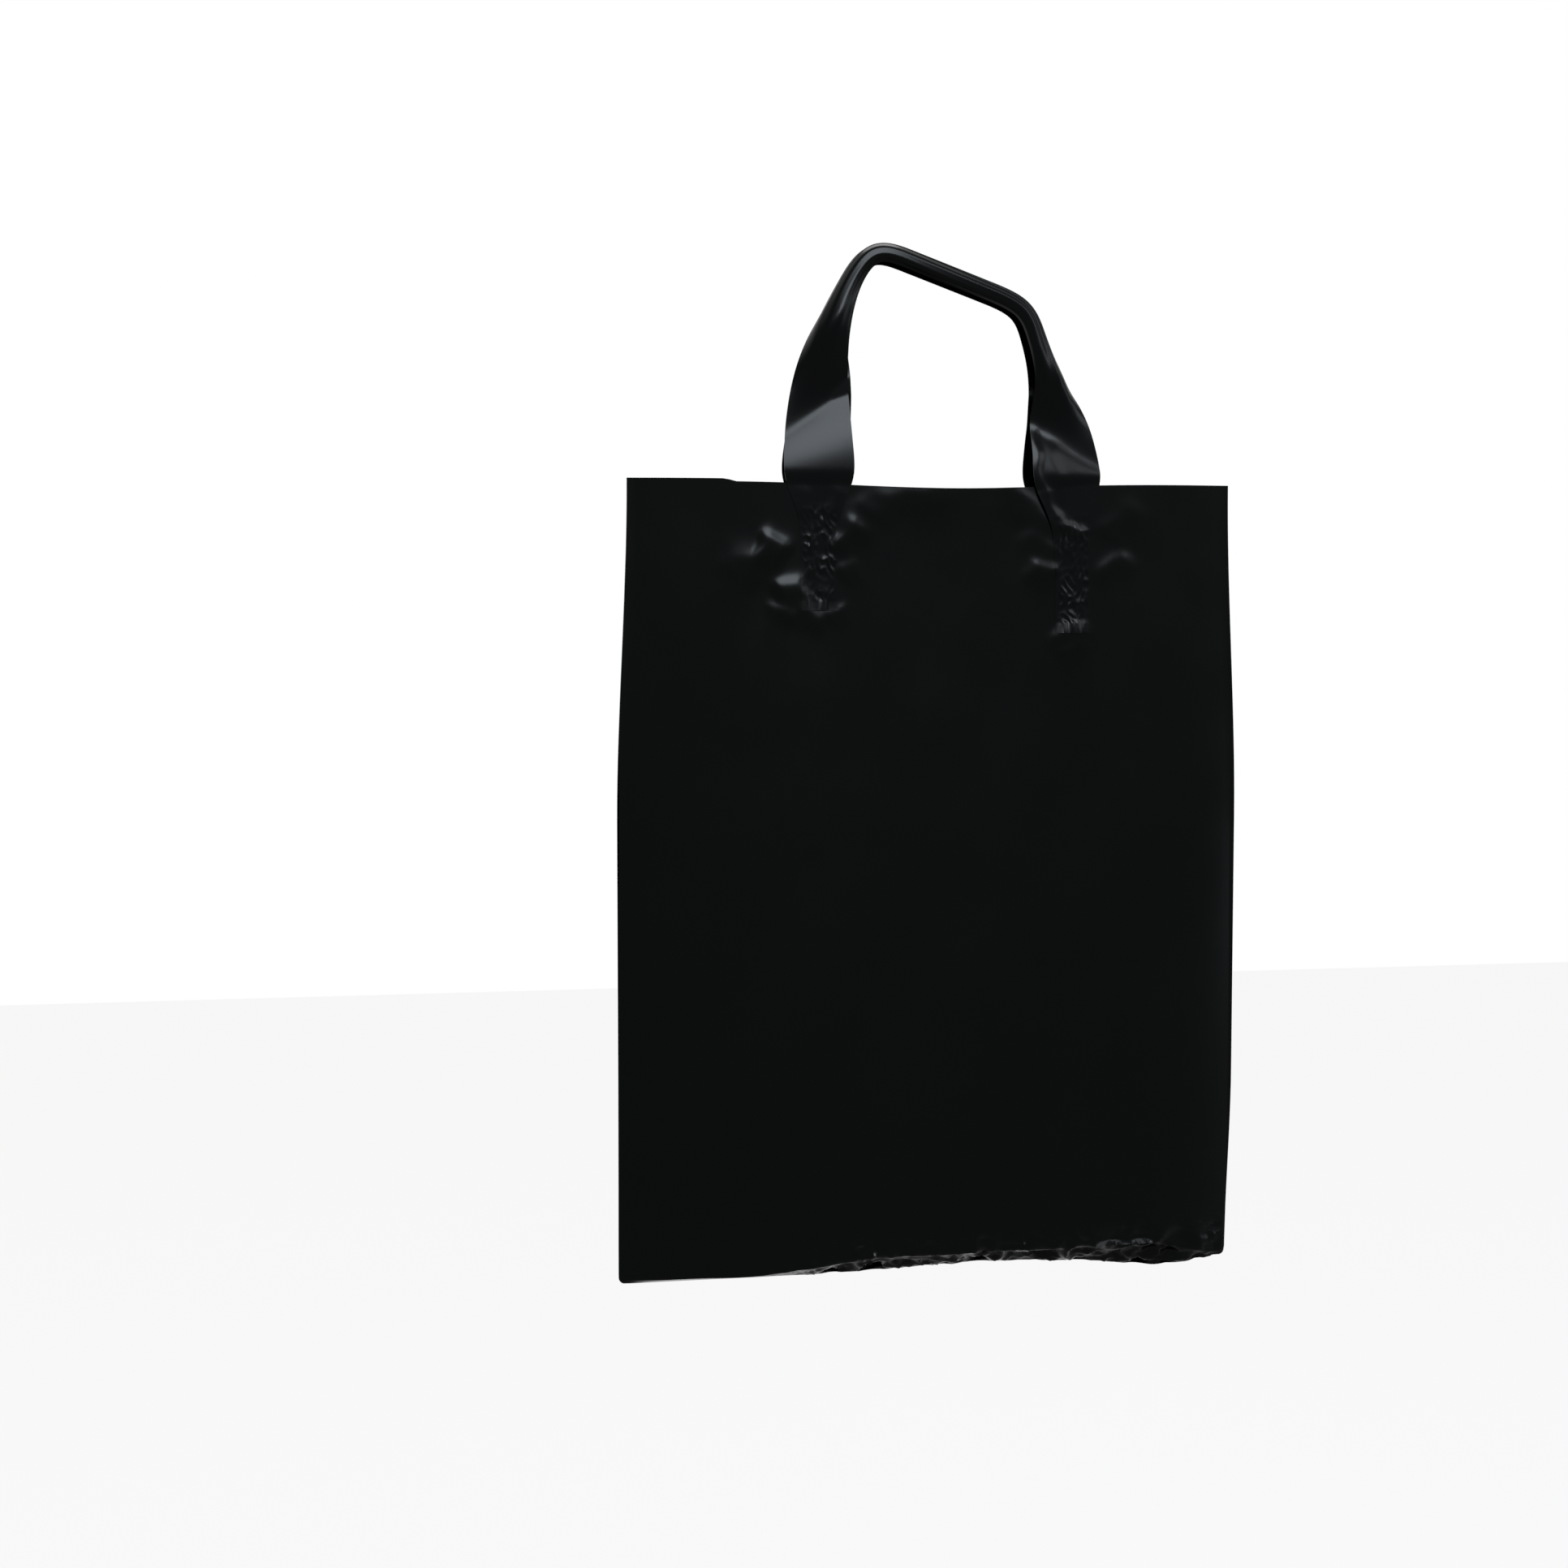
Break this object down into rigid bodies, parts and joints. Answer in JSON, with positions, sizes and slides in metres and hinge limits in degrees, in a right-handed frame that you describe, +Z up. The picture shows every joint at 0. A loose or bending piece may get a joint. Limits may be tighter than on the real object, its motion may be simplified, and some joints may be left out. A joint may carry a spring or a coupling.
{
  "type": "soft-loop plastic carrier bag",
  "caption": "Upright rectangular carrier bag of glossy black film with soft loop handles welded to the outside of its panels, hanging by the loops, open at the mouth.",
  "frame": {"origin": "middle of the gathered grip, between the two handle loops, where a hand or hook holds the bag", "axes": "+Z up along the hanging bag, +X to the right across the panels, +Y to the back, from the front panel to the rear one"},
  "size_m": [0.2556, 0.026, 0.4143],
  "materials": {
    "black_film": "glossy",
    "strap_film": "glossy"
  },
  "bodies": {
    "root": {"bag_body": "black_film", "front_handle": "strap_film", "rear_handle": "strap_film"}
  },
  "joints": []
}
